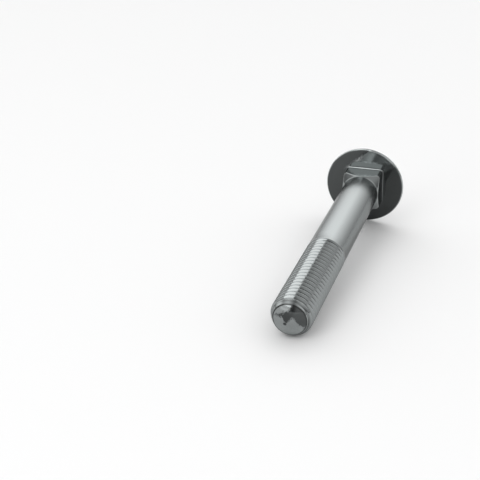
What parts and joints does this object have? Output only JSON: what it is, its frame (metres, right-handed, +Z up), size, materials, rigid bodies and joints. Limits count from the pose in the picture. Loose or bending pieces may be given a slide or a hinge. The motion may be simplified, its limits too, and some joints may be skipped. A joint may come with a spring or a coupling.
{
  "type": "carriage bolt",
  "caption": "Steel carriage bolt with a low domed head, a square neck, a plain shank and a rolled coarse thread, lying on its side.",
  "frame": {"origin": "on the surface that the bolt lies on, under the middle of its box", "axes": "+Z up, +X from the head towards the end of the thread; the bolt's own axis dips 4.6 degrees towards +X, as it rests on its head's rim and its thread"},
  "size_m": [0.0812, 0.0218, 0.0218],
  "materials": {
    "steel": "bright, smooth, as rolled and plated"
  },
  "bodies": {
    "root": {"bolt": "steel"}
  },
  "joints": []
}
